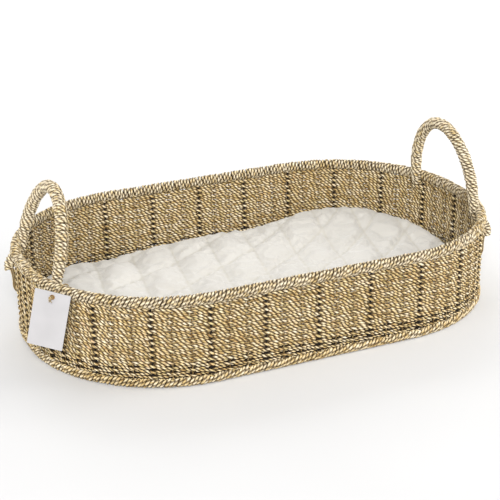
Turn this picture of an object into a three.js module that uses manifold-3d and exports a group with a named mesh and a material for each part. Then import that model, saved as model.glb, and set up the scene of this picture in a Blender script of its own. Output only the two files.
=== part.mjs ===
// Moses basket: a shallow seagrass basket with round ends, woven on a welded wire frame.
// Millimetres, +Z up, +X along the basket. Origin: the middle of the base, on the surface it stands on.
import * as THREE from 'three';
import { mergeVertices } from 'three/addons/utils/BufferGeometryUtils.js';
import Module from 'manifold-3d';

const wasm = await Module();
wasm.setup();

// Plan: two round ends joined by straight sides. Every ring has its arc centres at (+-END_X, +-END_Y).
const END_X = 153;            // from the middle to the centre of a round end, along the basket
const END_Y = 14.5;           // the same, across the basket
const RIM_RADIUS = 207;       // arc radius of the rim wire
const BASE_RADIUS = 205;      // arc radius of the base wire
const RING_STEPS = 36;        // facets round a ring

// Heights
const BASE_Z = 6.2;           // centre of the base wire
const RIM_Z = 130;            // centre of the rim wire

// Wire frame
const RING_WIRE_R = 2;
const STAKE_WIRE_R = 1.5;
const STAKE_COUNT = 24;
const CROSS_WIRE_Z = 6.2;
const LONG_WIRE_Z = 2.9;
const LONG_WIRE_Y = [-70, 0, 70];
const GAP = 0.3;              // clearance between touching pieces

// Weave
const RIM_BRAID_R = 7.6;
const BASE_BRAID_R = 6.2;
const BRAID_BORE_R = 2.9;     // bore round a ring wire
const BRAID_SLOT = 2.5;       // half-width of the slot that lets the stakes into it
const WALL_THICKNESS = 9;
const FLOOR_LOW = 0;
const FLOOR_HIGH = 9.6;

// Handles
const HANDLE_WRAP_R = 8;
const HANDLE_BORE_R = 2.9;
const HANDLE_CORE_R = 2.4;
const HANDLE_HALF_SPAN = 88;
const HANDLE_ROOT_X = 338;    // leg centre at rim height
const HANDLE_STEPS = 28;
const ARCH_SPANS = 8;         // spans between the guide points of an arch
const HANDLES = [
  { name: 'left', side: -1, rise: 107, lean: 29 },
  { name: 'right', side: 1, rise: 112, lean: 9 },
];
// Each leg crosses the wall below the rim: [distance outside the rim wire, height], top to bottom
const LEG_CROSSING = [[-5.5, 119], [1, 110.5], [9, 102.5], [13, 94], [13.2, 86]];
const TAIL = { width: 14, thickness: 6, high: 84, low: 56 };

// Pad
const PAD_RADIUS = 190;
const PAD_LOW = 10.2;
const PAD_SEAM_Z = 28;
const PAD_HIGH = 46;
const PAD_COVER = 2;
const PAD_SOFT = 8;           // bevel round the pad's edges

// Hang tag
const TAG = { width: 50, height: 85, thickness: 0.7, corner: 1.5, holeDrop: 7.5, hole: 2.7 };
const EYELET = { bore: 2, barrel: 2.4, flange: 3.6, inner: 0.65, outer: 1 };
const TAG_PIVOT = new THREE.Vector3(-354.7, -123.2, 127.9);
const TAG_FACING = THREE.MathUtils.degToRad(-122);   // direction that the card faces, in plan
const TAG_TILT = THREE.MathUtils.degToRad(12.3);     // how far the card hangs askew
const TIE_R = 0.9;
const TIE_LOOP_R = 10.2;      // loop round the rim roll
const KNOT_R = 2.5;
const KNOT_REACH = 5;         // from the pivot out to the knot

const SEAGRASS = { color: 0xc9b384, roughness: 0.85, metalness: 0 };
const IRON = { color: 0x16140f, roughness: 0.5, metalness: 0.8 };
const COTTON = { color: 0xf1ecdf, roughness: 0.95, metalness: 0 };
const FOAM = { color: 0xe8e2c8, roughness: 0.9, metalness: 0 };
const CARD = { color: 0xf3f0f2, roughness: 0.7, metalness: 0 };
const BRASS = { color: 0xb08a4a, roughness: 0.35, metalness: 1 };
const TWINE = { color: 0xb79c6c, roughness: 0.9, metalness: 0 };

const basket = new THREE.Group();

// ---- helpers -------------------------------------------------------------------------------

function addPiece(name, geometry, look) {
  const mesh = new THREE.Mesh(geometry, new THREE.MeshStandardMaterial(look));
  mesh.name = name;
  basket.add(mesh);
}

function bare(geometry) {
  const copy = geometry.clone();
  copy.deleteAttribute('normal');
  copy.deleteAttribute('uv');
  return mergeVertices(copy, 1e-4);
}

function toSolid(geometry) {
  const merged = bare(geometry);
  return new wasm.Manifold(new wasm.Mesh({
    numProp: 3,
    vertProperties: new Float32Array(merged.attributes.position.array),
    triVerts: new Uint32Array(merged.index.array),
  }));
}

function fromSolid(solid) {
  const mesh = solid.getMesh();
  const geometry = new THREE.BufferGeometry();
  geometry.setAttribute('position', new THREE.BufferAttribute(mesh.vertProperties, 3));
  geometry.setIndex(new THREE.BufferAttribute(mesh.triVerts, 1));
  return geometry;
}

// A geometry with the shapes of the others cut out of it.
function cut(geometry, cutters) {
  return fromSolid(cutters.reduce((solid, cutter) => solid.subtract(toSolid(cutter)), toSolid(geometry)));
}

// Moves the four quarters of a round ring apart, which makes the straight sides.
function stretchRound(geometry) {
  const spot = geometry.attributes.position;
  for (let i = 0; i < spot.count; i += 1) {
    const [x, y] = [spot.getX(i), spot.getY(i)];
    if (Math.hypot(x, y) > 1e-6) spot.setXY(i, x + Math.sign(x) * END_X, y + Math.sign(y) * END_Y);
  }
  return geometry;
}

// Sweeps a profile of [arc radius, height] points round the basket's plan.
function ring(profile) {
  const points = profile.map(([radius, z]) => new THREE.Vector2(radius, z));
  const lathe = new THREE.LatheGeometry(points, RING_STEPS, Math.PI / RING_STEPS, 2 * Math.PI);
  return stretchRound(lathe.rotateX(Math.PI / 2));
}

// Regular polygon with flats at top and bottom; `radius` is half its height.
function roundProfile(radius, sides, middleRadius, z) {
  const corner = radius / Math.cos(Math.PI / sides);
  return Array.from({ length: sides + 1 }, (_, i) => {
    const angle = ((i % sides) + 0.5) * 2 * Math.PI / sides - Math.PI / 2;
    return [middleRadius + corner * Math.cos(angle), z + corner * Math.sin(angle)];
  });
}

// Wrapped roll round a ring wire: a keyhole section, with a bore for the wire and a slot for the stakes.
// The slot is on top if `up` is 1 and underneath if it is -1. The side away from it is flat.
function rollProfile(radius, sides, middleRadius, z, up) {
  const arc = (arcRadius, count) => {
    const start = Math.asin(BRAID_SLOT / arcRadius);
    const step = (2 * Math.PI - 2 * start) / (count - 1);
    const corner = arcRadius / Math.cos(step / 2);
    return Array.from({ length: count }, (_, i) => {
      const angle = start + i * step - Math.PI / 2;
      return [corner * Math.cos(angle), corner * Math.sin(angle)];
    });
  };
  const outer = arc(radius, sides);
  return [...outer, ...arc(BRAID_BORE_R, 6).reverse(), outer[0]]
    .map(([x, h]) => [middleRadius - x * up, z - h * up]);
}

function cylinderBetween(start, end, radius, sides = 6) {
  const along = new THREE.Vector3().subVectors(end, start);
  const axis = new THREE.Vector3(0, 1, 0);
  const turn = new THREE.Quaternion().setFromUnitVectors(axis, along.clone().normalize());
  const middle = new THREE.Vector3().addVectors(start, end).multiplyScalar(0.5);
  return new THREE.CylinderGeometry(radius, radius, along.length(), sides)
    .applyQuaternion(turn).translate(middle.x, middle.y, middle.z);
}

// ---- plan positions ------------------------------------------------------------------------

// Point and outward direction at a distance along the rim wire from the middle of the +X end.
function planAt(distance, radius) {
  const quarter = END_Y + RIM_RADIUS * Math.PI / 2 + END_X;
  const turned = Math.floor(distance / quarter);
  const rest = distance - turned * quarter;
  const flipped = turned % 2 === 1;
  const along = flipped ? quarter - rest : rest;
  const angle = Math.min(Math.max((along - END_Y) / RIM_RADIUS, 0), Math.PI / 2);
  const straightY = Math.min(along, END_Y);
  const pastArc = Math.max(along - END_Y - RIM_RADIUS * Math.PI / 2, 0);
  const x = END_X - pastArc + radius * Math.cos(angle);
  const y = straightY + radius * Math.sin(angle);
  const signX = turned === 0 || turned === 3 ? 1 : -1;
  const signY = turned < 2 ? 1 : -1;
  return new THREE.Vector3(x * signX, y * signY, 0);
}

// Half-length of the floor at a distance off one axis, measured to a ring of the given arc radius.
function halfChord(offset, endOffset, endAlong, radius) {
  const past = Math.max(Math.abs(offset) - endOffset, 0);
  return endAlong + Math.sqrt(radius * radius - past * past);
}

// ---- wire frame ----------------------------------------------------------------------------

const perimeter = 4 * (END_X + END_Y) + 2 * Math.PI * RIM_RADIUS;
const stakePitch = perimeter / STAKE_COUNT;
const frameInside = BASE_RADIUS - RING_WIRE_R - GAP - STAKE_WIRE_R;

const rimWire = (extra) => ring(roundProfile(RING_WIRE_R + extra, 6, RIM_RADIUS, RIM_Z));
const baseWire = () => ring(roundProfile(RING_WIRE_R, 6, BASE_RADIUS, BASE_Z));

function stake(index, radius) {
  const foot = planAt(index * stakePitch, BASE_RADIUS).setZ(BASE_Z + RING_WIRE_R + GAP);
  const head = planAt(index * stakePitch, RIM_RADIUS).setZ(RIM_Z - RING_WIRE_R - GAP);
  return cylinderBetween(foot, head, radius);
}

const crossWireX = [-3, -2, -1, 0, 1, 2, 3].map((step) => step * stakePitch);

function crossWire(x, radius) {
  const half = halfChord(x, END_X, END_Y, frameInside);
  const end = new THREE.Vector3(x, half, CROSS_WIRE_Z);
  return cylinderBetween(end.clone().setY(-half), end, radius);
}

function longWire(y, radius) {
  const half = halfChord(y, END_Y, END_X, frameInside);
  const end = new THREE.Vector3(half, y, LONG_WIRE_Z);
  return cylinderBetween(end.clone().setX(-half), end, radius);
}

const stakeNumbers = Array.from({ length: STAKE_COUNT }, (_, i) => i);
const floorWires = (radius) => [
  ...crossWireX.map((x) => crossWire(x, radius)),
  ...LONG_WIRE_Y.map((y) => longWire(y, radius)),
];

function addFrame() {
  addPiece('rim_wire', rimWire(0), IRON);
  addPiece('base_wire', baseWire(), IRON);
  stakeNumbers.forEach((i) => {
    addPiece(`stake_wire_${String(i + 1).padStart(2, '0')}`, stake(i, STAKE_WIRE_R), IRON);
  });
  crossWireX.forEach((x, i) => addPiece(`cross_wire_${i + 1}`, crossWire(x, STAKE_WIRE_R), IRON));
  LONG_WIRE_Y.forEach((y, i) => addPiece(`long_wire_${i + 1}`, longWire(y, STAKE_WIRE_R), IRON));
}

// ---- handles -------------------------------------------------------------------------------

// Point beside one leg, at a distance outside the rim wire and a height. `side` and `end` are -1 or 1.
function besideLeg(side, end, outside, z) {
  const toLeg = new THREE.Vector2(HANDLE_ROOT_X - END_X, HANDLE_HALF_SPAN - END_Y).normalize();
  const reach = RIM_RADIUS + outside;
  return new THREE.Vector3(side * (END_X + toLeg.x * reach), end * (END_Y + toLeg.y * reach), z);
}

function handlePath({ side, rise, lean }) {
  const leg = (end) => LEG_CROSSING.map(([outside, z]) => besideLeg(side, end, outside, z));
  const arch = Array.from({ length: ARCH_SPANS + 1 }, (_, i) => {
    const angle = i * Math.PI / ARCH_SPANS;
    const up = Math.sin(angle);
    return new THREE.Vector3(
      side * (HANDLE_ROOT_X - lean * up),
      HANDLE_HALF_SPAN * Math.cos(angle),
      RIM_Z + rise * up,
    );
  });
  return new THREE.CatmullRomCurve3([...leg(1).reverse(), ...arch, ...leg(-1)]);
}

// Tube along a handle, with or without a bore.
function handleTube(handle, radius, sides, boreRadius = 0) {
  const circle = (r, n) => Array.from({ length: n }, (_, i) => {
    const angle = i * 2 * Math.PI / n;
    return new THREE.Vector2(r * Math.cos(angle), r * Math.sin(angle));
  });
  const section = new THREE.Shape(circle(radius, sides));
  if (boreRadius > 0) section.holes.push(new THREE.Path(circle(boreRadius, 6)));
  return new THREE.ExtrudeGeometry(section, {
    steps: HANDLE_STEPS, extrudePath: handlePath(handle), curveSegments: 1,
  });
}

// Flat end of a leg's strands, sewn down on the outside of the wall.
function legTail(side, end) {
  const middleZ = (TAIL.high + TAIL.low) / 2;
  const outside = WALL_THICKNESS / 2 + GAP + TAIL.thickness / 2;
  const middle = besideLeg(side, end, outside, middleZ);
  const angle = Math.atan2(end * (HANDLE_HALF_SPAN - END_Y), side * (HANDLE_ROOT_X - END_X));
  return new THREE.BoxGeometry(TAIL.thickness, TAIL.width, TAIL.high - TAIL.low)
    .rotateZ(angle).translate(middle.x, middle.y, middle.z);
}

function addHandles() {
  HANDLES.forEach((handle) => {
    const wrap = handleTube(handle, HANDLE_WRAP_R, 10, HANDLE_BORE_R);
    addPiece(`handle_${handle.name}_core`, handleTube(handle, HANDLE_CORE_R, 6), IRON);
    addPiece(`handle_${handle.name}_wrap`, cut(wrap, [rimWire(GAP)]), SEAGRASS);
    addPiece(`handle_${handle.name}_front_tail`, legTail(handle.side, -1), SEAGRASS);
    addPiece(`handle_${handle.name}_back_tail`, legTail(handle.side, 1), SEAGRASS);
  });
}

// ---- hang tag ------------------------------------------------------------------------------

// Turns a shape drawn in the XY plane, facing +Z, to hang at the tag's pivot.
function hang(geometry) {
  const facing = new THREE.Vector3(Math.cos(TAG_FACING), Math.sin(TAG_FACING), 0);
  const up = new THREE.Vector3(0, 0, 1);
  const across = new THREE.Vector3().crossVectors(up, facing);
  const turn = new THREE.Matrix4().makeBasis(across, up, facing).setPosition(TAG_PIVOT);
  return geometry.rotateZ(-TAG_TILT).applyMatrix4(turn);
}

function tagCard() {
  const [half, top, bottom] = [TAG.width / 2, TAG.holeDrop, TAG.holeDrop - TAG.height];
  const c = TAG.corner;
  const card = new THREE.Shape();
  card.moveTo(-half + c, bottom);
  card.lineTo(half - c, bottom);
  card.quadraticCurveTo(half, bottom, half, bottom + c);
  card.lineTo(half, top - c);
  card.quadraticCurveTo(half, top, half - c, top);
  card.lineTo(-half + c, top);
  card.quadraticCurveTo(-half, top, -half, top - c);
  card.lineTo(-half, bottom + c);
  card.quadraticCurveTo(-half, bottom, -half + c, bottom);
  card.holes.push(new THREE.Path().absarc(0, 0, TAG.hole, 0, 2 * Math.PI, true));
  const slab = new THREE.ExtrudeGeometry(card, {
    depth: TAG.thickness, bevelEnabled: false, curveSegments: 6,
  });
  return hang(slab.translate(0, 0, -TAG.thickness / 2));
}

function tagEyelet() {
  const { bore, barrel, flange, inner, outer } = EYELET;
  const points = [[bore, -outer], [flange, -outer], [flange, -inner], [barrel, -inner],
    [barrel, inner], [flange, inner], [flange, outer], [bore, outer], [bore, -outer]];
  const lathe = new THREE.LatheGeometry(points.map(([x, y]) => new THREE.Vector2(x, y)), 16);
  return hang(lathe.rotateX(Math.PI / 2));
}

// Twine loop round the rim roll, with a straight strand out through the eyelet to a knot.
function tagTie(extra) {
  const out = new THREE.Vector3(TAG_PIVOT.x + END_X, TAG_PIVOT.y + END_Y, 0);
  out.normalize();
  const middle = new THREE.Vector3(-END_X, -END_Y, RIM_Z).addScaledVector(out, RIM_RADIUS);
  const loop = new THREE.TorusGeometry(TIE_LOOP_R, TIE_R + extra, 6, 18).rotateX(Math.PI / 2)
    .rotateZ(Math.atan2(out.y, out.x)).translate(middle.x, middle.y, middle.z);
  const strandStart = middle.clone().addScaledVector(out, TIE_LOOP_R).setZ(TAG_PIVOT.z);
  const strandEnd = TAG_PIVOT.clone().addScaledVector(out, KNOT_REACH);
  const strand = cylinderBetween(strandStart, strandEnd, TIE_R + extra);
  const knot = new THREE.IcosahedronGeometry(KNOT_R, 1).translate(strandEnd.x, strandEnd.y, strandEnd.z);
  return fromSolid(toSolid(loop).add(toSolid(strand)).add(toSolid(knot)));
}

function addTag() {
  addPiece('tag_card', tagCard(), CARD);
  addPiece('tag_eyelet', tagEyelet(), BRASS);
  addPiece('tag_tie', tagTie(0), TWINE);
}

// ---- weave ---------------------------------------------------------------------------------

function wallBand() {
  const half = WALL_THICKNESS / 2;
  const radiusAt = (z) => BASE_RADIUS + (RIM_RADIUS - BASE_RADIUS) * (z - BASE_Z) / (RIM_Z - BASE_Z);
  const low = BASE_Z + BASE_BRAID_R + GAP;
  const high = RIM_Z - RIM_BRAID_R - GAP;
  return ring([
    [radiusAt(low) - half, low], [radiusAt(low) + half, low],
    [radiusAt(high) + half, high], [radiusAt(high) - half, high],
    [radiusAt(low) - half, low],
  ]);
}

function floorPlate() {
  const radius = BASE_RADIUS - BASE_BRAID_R / Math.cos(Math.PI / 8) - GAP;
  return ring([[0, FLOOR_LOW], [radius, FLOOR_LOW], [radius, FLOOR_HIGH], [0, FLOOR_HIGH]]);
}

function addWeave() {
  const legs = HANDLES.map((handle) => handleTube(handle, HANDLE_WRAP_R + GAP, 10));
  const stakeBores = stakeNumbers.map((i) => stake(i, STAKE_WIRE_R + GAP));
  const floorBores = floorWires(STAKE_WIRE_R + GAP);
  const rimRoll = ring(rollProfile(RIM_BRAID_R, 10, RIM_RADIUS, RIM_Z, -1));
  const baseRoll = ring(rollProfile(BASE_BRAID_R, 8, BASE_RADIUS, BASE_Z, 1));
  addPiece('rim_braid', cut(rimRoll, legs), SEAGRASS);
  addPiece('wall_weave', cut(wallBand(), [...stakeBores, ...legs, tagTie(GAP)]), SEAGRASS);
  addPiece('base_braid', cut(baseRoll, floorBores), SEAGRASS);
  addPiece('base_weave', cut(floorPlate(), floorBores), SEAGRASS);
}

// ---- pad -----------------------------------------------------------------------------------

function addPad() {
  const [edge, inside] = [PAD_RADIUS, PAD_RADIUS - PAD_COVER];
  const [bottomIn, topIn] = [PAD_LOW + PAD_COVER, PAD_HIGH - PAD_COVER];
  addPiece('pad_cover_bottom', ring([
    [0, PAD_LOW], [edge - PAD_SOFT, PAD_LOW], [edge, PAD_LOW + PAD_SOFT], [edge, PAD_SEAM_Z],
    [inside, PAD_SEAM_Z], [inside, bottomIn + PAD_SOFT], [inside - PAD_SOFT, bottomIn], [0, bottomIn],
  ]), COTTON);
  addPiece('pad_core', ring([
    [0, bottomIn + GAP], [inside - PAD_SOFT - GAP, bottomIn + GAP],
    [inside - GAP, bottomIn + PAD_SOFT + GAP], [inside - GAP, topIn - PAD_SOFT - GAP],
    [inside - PAD_SOFT - GAP, topIn - GAP], [0, topIn - GAP],
  ]), FOAM);
  addPiece('pad_cover_top', ring([
    [0, topIn], [inside - PAD_SOFT, topIn], [inside, topIn - PAD_SOFT], [inside, PAD_SEAM_Z + GAP],
    [edge, PAD_SEAM_Z + GAP], [edge, PAD_HIGH - PAD_SOFT], [edge - PAD_SOFT, PAD_HIGH], [0, PAD_HIGH],
  ]), COTTON);
}

addFrame();
addWeave();
addHandles();
addPad();
addTag();

export default basket;
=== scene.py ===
import math

import bpy
import numpy as np
from mathutils import Matrix, Vector


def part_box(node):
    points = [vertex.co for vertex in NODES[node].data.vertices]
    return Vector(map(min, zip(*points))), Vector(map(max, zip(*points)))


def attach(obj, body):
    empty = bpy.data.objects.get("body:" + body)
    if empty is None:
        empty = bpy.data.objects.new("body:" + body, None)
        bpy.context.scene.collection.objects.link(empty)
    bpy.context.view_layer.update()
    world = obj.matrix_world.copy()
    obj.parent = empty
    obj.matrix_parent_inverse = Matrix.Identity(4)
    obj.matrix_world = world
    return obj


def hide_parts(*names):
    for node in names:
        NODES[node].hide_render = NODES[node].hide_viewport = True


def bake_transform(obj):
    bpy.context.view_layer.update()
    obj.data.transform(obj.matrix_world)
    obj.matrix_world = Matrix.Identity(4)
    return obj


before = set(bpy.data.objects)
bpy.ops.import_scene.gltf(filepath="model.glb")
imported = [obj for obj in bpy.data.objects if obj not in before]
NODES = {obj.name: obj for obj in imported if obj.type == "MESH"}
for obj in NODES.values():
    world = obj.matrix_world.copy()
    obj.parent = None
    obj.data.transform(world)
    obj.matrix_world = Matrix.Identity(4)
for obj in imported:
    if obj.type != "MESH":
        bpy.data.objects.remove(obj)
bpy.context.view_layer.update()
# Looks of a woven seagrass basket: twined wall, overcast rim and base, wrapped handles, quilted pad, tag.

SCENE = bpy.context.scene

# ---- plan of the basket, in metres ---------------------------------------------------------

END_X = 0.153                 # centres of the round ends, from the middle
END_Y = 0.0145
RIM_RADIUS = 0.207
BASE_RADIUS = 0.205
STAKES = 24
PERIMETER = 4 * (END_X + END_Y) + 2 * math.pi * RIM_RADIUS
STAKE_PITCH = PERIMETER / STAKES
QUARTER = RIM_RADIUS * math.pi / 2


def middle(node, axis):
    low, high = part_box(node)
    return (low[axis] + high[axis]) / 2


RIM_Z = middle("rim_wire", 2)
BASE_Z = middle("base_wire", 2)
CROSS_WIRE_Z = middle("cross_wire_4", 2)
LONG_WIRE_Y = middle("long_wire_3", 1)
WALL_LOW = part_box("wall_weave")[0].z
RIM_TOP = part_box("rim_braid")[1].z
TAG_PIVOT = Vector((middle("tag_eyelet", 0), middle("tag_eyelet", 1), middle("tag_eyelet", 2)))


def plan(distance, radius):
    """Points at distances round the rim from the middle of the +X end, with their outward directions."""
    lengths = np.array([END_Y, QUARTER, 2 * END_X, QUARTER, 2 * END_Y, QUARTER, 2 * END_X, QUARTER, END_Y])
    marks = np.concatenate([[0], np.cumsum(lengths)])
    angles = np.array([0, 0, 1, 1, 2, 2, 3, 3, 4, 4]) * math.pi / 2
    centre_x = np.array([1, 1, 1, -1, -1, -1, -1, 1, 1, 1]) * END_X
    centre_y = np.array([0, 1, 1, 1, 1, -1, -1, -1, -1, 0]) * END_Y
    where = np.mod(distance, PERIMETER)
    angle = np.interp(where, marks, angles)
    x = np.interp(where, marks, centre_x) + radius * np.cos(angle)
    y = np.interp(where, marks, centre_y) + radius * np.sin(angle)
    zero = np.zeros_like(x)
    return np.stack([x, y, zero], 1), np.stack([np.cos(angle), np.sin(angle), zero], 1)


def wall_radius(z):
    """Arc radius of the wall's middle at a height."""
    return BASE_RADIUS + (RIM_RADIUS - BASE_RADIUS) * (z - BASE_Z) / (RIM_Z - BASE_Z)


# ---- mesh making ---------------------------------------------------------------------------

UP = np.array([0.0, 0.0, 1.0])
FIBRE_PER_METRE = 100         # the material's fibre coordinate along a strand, in centimetres
PLY_TONE = 0.10               # how far a cord's two plies differ in tone
UNEVEN_TWIST = 1.3            # how far, in radians, a cord's twist runs ahead or behind
UNEVEN_LENGTH = 0.03          # length of cord over which that changes
FULL_CREASE = 0.3             # ply depth at which the shade painted in the crease between two plies is full


def unit(vectors):
    return vectors / np.maximum(np.linalg.norm(vectors, axis=-1, keepdims=True), 1e-12)


def wander(count, knots, rng, closed=False):
    """A smooth random curve through some random values from -1 to 1."""
    values = rng.uniform(-1, 1, knots)
    values = np.append(values, values[0] if closed else rng.uniform(-1, 1))
    at = np.linspace(0, knots, count, endpoint=not closed)
    low = np.minimum(at.astype(int), knots - 1)
    part = at - low
    part = part * part * (3 - 2 * part)
    return values[low] * (1 - part) + values[low + 1] * part


class Strands:
    """Collects tubes of grass, with what their material needs, into one mesh."""

    def __init__(self, name):
        self.name = name
        self.points, self.sizes, self.corners = [], [], []
        self.fibre, self.tone, self.painted_shade = [], [], []
        self.count = 0

    def tube(self, path, out, half_out, half_side, tone, rng, painted_shade=0.0, sides=12, closed=False,
             ply_depth=0.50, twist=0.0170, contact_shade=0.95):
        """A two-ply cord along a path, with its colours and painted shade.

        `out` points away from what it lies on, `ply_depth` is how deep the creases between its plies are,
        `twist` is the length of one turn, and `contact_shade` is the shade painted on its sides, where it
        meets its neighbours.
        """
        n = len(path)
        if closed:
            tangent = unit(np.roll(path, -1, 0) - np.roll(path, 1, 0))
            steps = np.linalg.norm(np.roll(path, -1, 0) - path, axis=1)
        else:
            tangent = unit(np.gradient(path, axis=0))
            steps = np.linalg.norm(np.diff(path, axis=0, append=path[-1:]), axis=1)
        along = np.concatenate([[0], np.cumsum(steps[:-1])])
        side = unit(np.cross(tangent, out))
        front = np.cross(side, tangent)
        angle = np.arange(sides) * 2 * math.pi / sides
        turn = 2 * math.pi * along / twist
        if closed:
            turn *= round(turn[-1] / (2 * math.pi)) * 2 * math.pi / turn[-1]
        turn = turn + rng.uniform(0, math.pi)
        turn += UNEVEN_TWIST * wander(n, max(int(along[-1] / UNEVEN_LENGTH), 2), rng, closed)
        spun = angle[None, :] - turn[:, None]
        crest = np.abs(np.cos(spun))
        shape = 1 - ply_depth * (1 - crest)
        half_out = np.broadcast_to(half_out, (n,))
        half_side = np.broadcast_to(half_side, (n,))
        offset = (front[:, None] * (shape * np.cos(angle) * half_out[:, None])[..., None]
                  + side[:, None] * (shape * np.sin(angle) * half_side[:, None])[..., None])
        points = (path[:, None] + offset).reshape(-1, 3)
        seed = rng.uniform(-50, 50)
        length = np.broadcast_to((along * FIBRE_PER_METRE + seed)[:, None], spun.shape)
        fibre = np.stack([np.cos(spun), np.sin(spun), length], 2)
        # Painted shade: the creases between the plies and the sides where a cord meets its neighbours are
        # darkened, and the darkest of these and the given shade is kept.
        crease = np.minimum(1.3 * (1 - crest) ** 0.9, 1) * min(ply_depth / FULL_CREASE, 1)
        side_shade = contact_shade * np.abs(np.sin(angle))[None, :] ** 3
        inner = np.maximum(np.broadcast_to(painted_shade, (n,))[:, None], np.maximum(crease, side_shade))
        ply = PLY_TONE * np.sign(np.cos(spun))
        rings = n if closed else n - 1
        i = np.arange(rings)[:, None]
        j = np.arange(sides)[None, :]
        a, b = i * sides + j, i * sides + (j + 1) % sides
        c, d = ((i + 1) % n) * sides + (j + 1) % sides, ((i + 1) % n) * sides + j
        quads = np.stack([a, b, c, d], 2).reshape(-1, 4) + self.count
        self.corners.append(quads.ravel())
        self.sizes.append(np.full(len(quads), 4))
        if not closed:
            first = np.arange(sides)[::-1] + self.count
            last = (n - 1) * sides + np.arange(sides) + self.count
            self.corners += [first, last]
            self.sizes.append(np.array([sides, sides]))
        self.points.append(points)
        self.fibre.append(fibre.reshape(-1, 3))
        self.tone.append((np.broadcast_to(tone, (n,))[:, None] + ply).ravel())
        self.painted_shade.append(inner.ravel())
        self.count += len(points)

    def build(self, material, body, slot, *replaced):
        piece = mesh_piece(self.name, np.concatenate(self.points), np.concatenate(self.corners),
                           np.concatenate(self.sizes))
        add_attribute(piece, "fibre", "FLOAT_VECTOR", np.concatenate(self.fibre))
        add_attribute(piece, "tone", "FLOAT", np.concatenate(self.tone))
        add_attribute(piece, "painted_shade", "FLOAT", np.concatenate(self.painted_shade))
        return place(piece, material, body, slot, *replaced)


def mesh_piece(name, points, corners, sizes):
    """An object from points, the corners of its faces one after another, and each face's corner count."""
    mesh = bpy.data.meshes.new(name)
    mesh.vertices.add(len(points))
    mesh.vertices.foreach_set("co", np.ascontiguousarray(points, np.float32).ravel())
    mesh.loops.add(len(corners))
    mesh.loops.foreach_set("vertex_index", corners.astype(np.int32))
    mesh.polygons.add(len(sizes))
    starts = np.concatenate([[0], np.cumsum(sizes)[:-1]]).astype(np.int32)
    mesh.polygons.foreach_set("loop_start", starts)
    mesh.polygons.foreach_set("use_smooth", np.ones(len(sizes), bool))
    mesh.update(calc_edges=True)
    mesh.validate()
    piece = bpy.data.objects.new(name, mesh)
    SCENE.collection.objects.link(piece)
    return piece


def add_attribute(piece, name, kind, values):
    attribute = piece.data.attributes.new(name, kind, "POINT")
    attribute.data.foreach_set("vector" if kind == "FLOAT_VECTOR" else "value",
                               np.ascontiguousarray(values, np.float32).ravel())


def place(piece, material, body, slot, *replaced):
    piece.data.materials.clear()
    piece.data.materials.append(material)
    if body:
        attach(piece, body)
    if replaced:
        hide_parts(*replaced)
    return piece


# ---- materials -----------------------------------------------------------------------------


SOCKETS = {"metallic": "Metallic", "specular": "Specular IOR Level", "sheen": "Sheen Weight",
           "sheen_roughness": "Sheen Roughness"}


class Nodes:
    """Short calls for building one material's node tree."""

    def __init__(self, name):
        self.material = bpy.data.materials.new(name)
        self.material.use_nodes = True
        self.tree = self.material.node_tree
        self.shader = self.tree.nodes["Principled BSDF"]

    def add(self, kind, **settings):
        node = self.tree.nodes.new(kind)
        for key, value in settings.items():
            setattr(node, key, value)
        return node

    def link(self, source, target):
        self.tree.links.new(source, target)

    def value(self, target, source):
        if hasattr(source, "is_linked"):
            self.link(source, target)
        else:
            target.default_value = source

    def attribute(self, name, output="Fac"):
        return self.add("ShaderNodeAttribute", attribute_name=name).outputs[output]

    def position(self):
        return self.add("ShaderNodeTexCoord").outputs["Object"]

    def math(self, operation, first, second=0.0, clamp=False):
        node = self.add("ShaderNodeMath", operation=operation, use_clamp=clamp)
        self.value(node.inputs[0], first)
        self.value(node.inputs[1], second)
        return node.outputs[0]

    def scaled(self, vector, scale):
        node = self.add("ShaderNodeMapping")
        self.link(vector, node.inputs["Vector"])
        node.inputs["Scale"].default_value = scale
        return node.outputs[0]

    def noise(self, vector, scale, detail=2.0, roughness=0.5):
        node = self.add("ShaderNodeTexNoise")
        self.link(vector, node.inputs["Vector"])
        node.inputs["Scale"].default_value = scale
        node.inputs["Detail"].default_value = detail
        node.inputs["Roughness"].default_value = roughness
        return node.outputs["Fac"]

    def wave(self, vector, scale, direction, distortion):
        node = self.add("ShaderNodeTexWave", bands_direction=direction)
        self.link(vector, node.inputs["Vector"])
        node.inputs["Scale"].default_value = scale
        node.inputs["Distortion"].default_value = distortion
        return node.outputs["Fac"]

    def ramp(self, factor, stops):
        node = self.add("ShaderNodeValToRGB")
        self.link(factor, node.inputs["Fac"])
        elements = node.color_ramp.elements
        while len(elements) < len(stops):
            elements.new(0.5)
        for element, (at, colour) in zip(elements, stops):
            element.position = at
            element.color = (*colour, 1)
        return node.outputs["Color"]

    def mix(self, factor, first, second):
        node = self.add("ShaderNodeMix", data_type="RGBA")
        self.value(node.inputs["Factor"], factor)
        for target, source in ((node.inputs["A"], first), (node.inputs["B"], second)):
            if isinstance(source, tuple):
                target.default_value = (*source, 1)
            else:
                self.link(source, target)
        return node.outputs["Result"]

    def span(self, factor, low, high):
        node = self.add("ShaderNodeMapRange")
        self.link(factor, node.inputs["Value"])
        node.inputs["To Min"].default_value = low
        node.inputs["To Max"].default_value = high
        return node.outputs["Result"]

    def bump(self, height, distance, strength):
        node = self.add("ShaderNodeBump")
        self.link(height, node.inputs["Height"])
        node.inputs["Distance"].default_value = distance
        node.inputs["Strength"].default_value = strength
        return node.outputs["Normal"]

    def finish(self, colour, roughness, normal=None, **constants):
        for name, source in (("Base Color", colour), ("Roughness", roughness), ("Normal", normal)):
            if source is not None:
                self.value(self.shader.inputs[name], source)
        for name, number in constants.items():
            self.shader.inputs[SOCKETS[name]].default_value = number
        return self.material


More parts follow.
